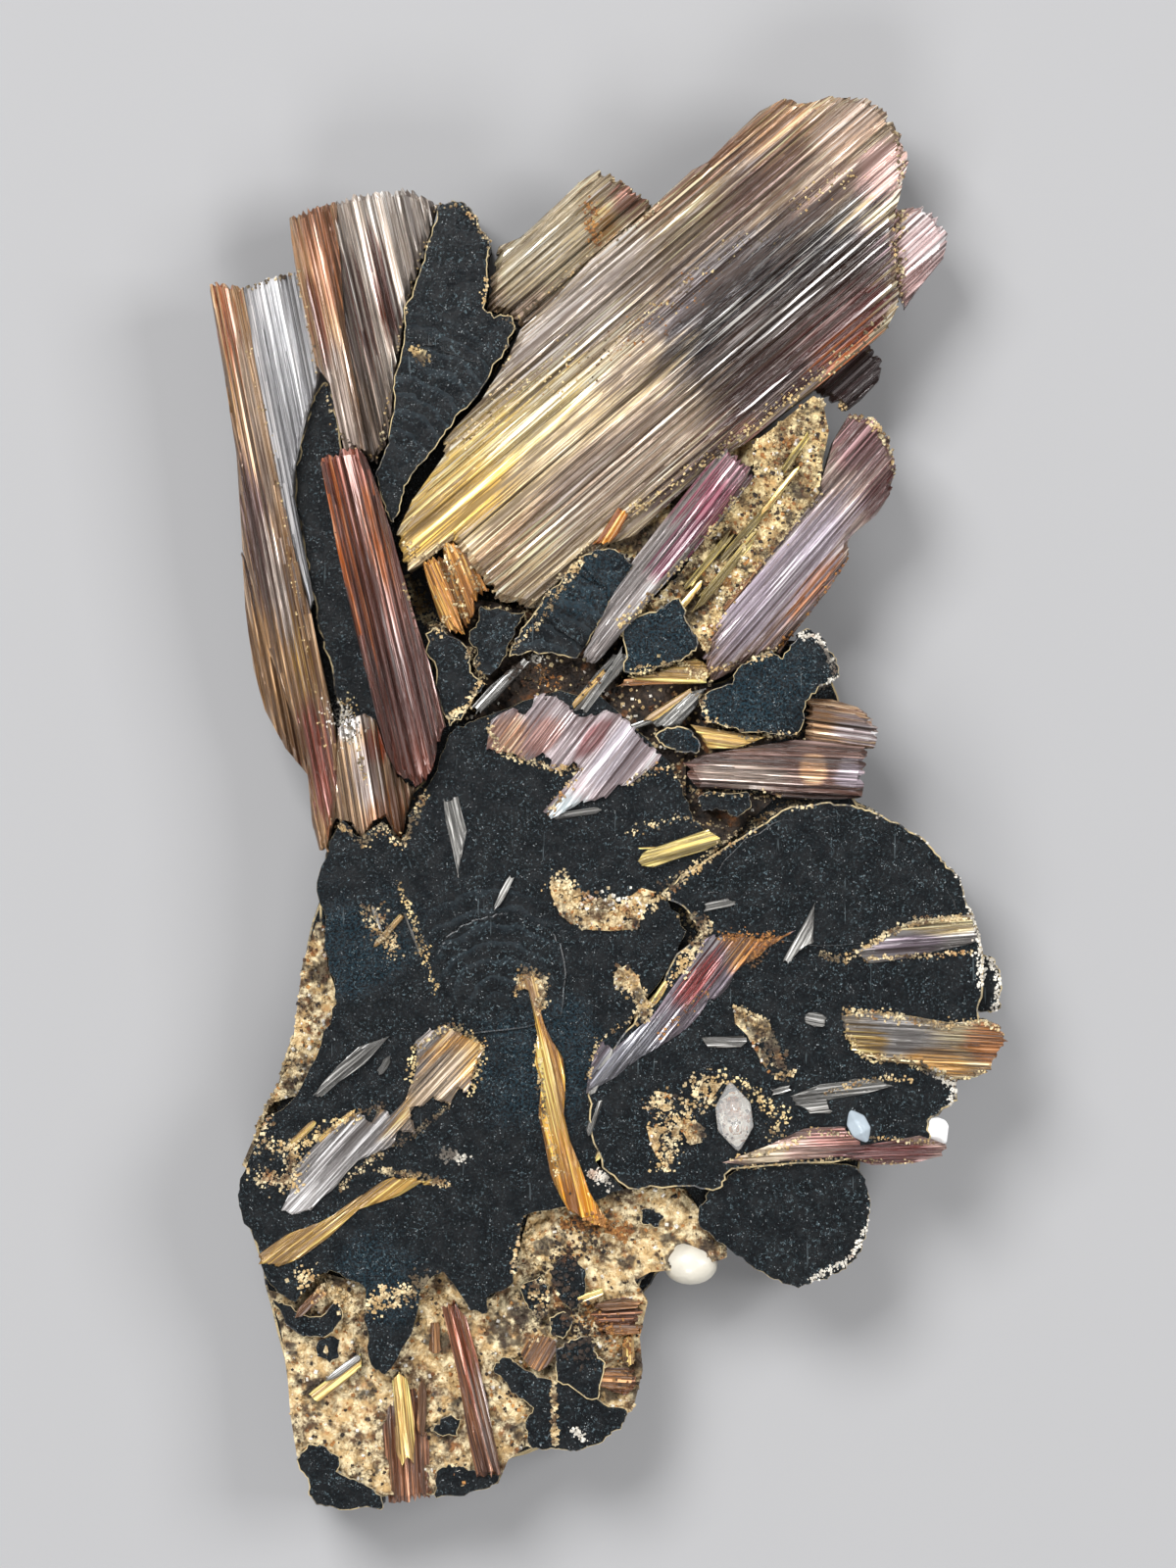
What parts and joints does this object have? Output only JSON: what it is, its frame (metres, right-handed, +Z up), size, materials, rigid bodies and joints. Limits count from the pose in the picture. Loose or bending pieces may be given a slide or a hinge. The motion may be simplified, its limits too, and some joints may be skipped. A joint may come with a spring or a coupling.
{
  "type": "rutile on hematite mineral specimen",
  "caption": "Flat mineral specimen: black hematite plates grown in a rosette, crossed by long striated rutile crystals, with clay in the hollows and a little quartz.",
  "frame": {"origin": "middle of the bounding box, on the surface that the specimen lies on", "axes": "+Y along the specimen's length, towards the big rutile blade, and +Z up, out of its front face"},
  "size_m": [0.0164, 0.029, 0.0039],
  "materials": {
    "hematite": "satin black with a blue sheen",
    "rutile_golden": "bright, striated lengthwise, golden",
    "rutile_silver": "bright, striated lengthwise, silver grey",
    "rutile_tan": "bright, striated lengthwise, pinkish tan",
    "rutile_red": "bright, striated lengthwise, red brown",
    "rutile_amber": "bright, striated lengthwise, amber",
    "rutile_dusk": "bright, striated lengthwise, dark purple brown",
    "ochre": "granular, matt",
    "clay": "granular, matt, cream",
    "quartz_clear": "clear, glassy",
    "quartz_milky": "milky, glassy"
  },
  "bodies": {
    "root": {"hematite_rosette": "hematite", "rutile_main_blade": "rutile_golden", "rutile_right_blade": "rutile_silver", "rutile_left_fan": "rutile_silver", "rutile_red_column": "rutile_red", "rutile_stub_pair": "rutile_tan", "rutile_pink_column": "rutile_dusk", "rutile_cross_bundle": "rutile_silver", "rutile_purple_bundle": "rutile_dusk", "rutile_inlay_northeast": "rutile_silver", "rutile_inlay_east": "rutile_golden", "rutile_inlay_southeast": "rutile_tan", "rutile_block_east": "rutile_dusk", "rutile_west_bundle": "rutile_silver", "rutile_southwest_bundle": "rutile_golden", "rutile_amber_fan": "rutile_amber", "rutile_south_column": "rutile_red", "rutile_toe_column": "rutile_red", "rutile_bar_southeast": "rutile_red", "rutile_bar_south": "rutile_tan", "ochre_crust_east": "ochre", "clay_bed_south": "clay", "clay_rim_west": "clay", "quartz_point": "quartz_clear", "quartz_chip": "quartz_milky", "quartz_glint": "quartz_milky", "quartz_pebble": "quartz_milky"}
  },
  "joints": []
}
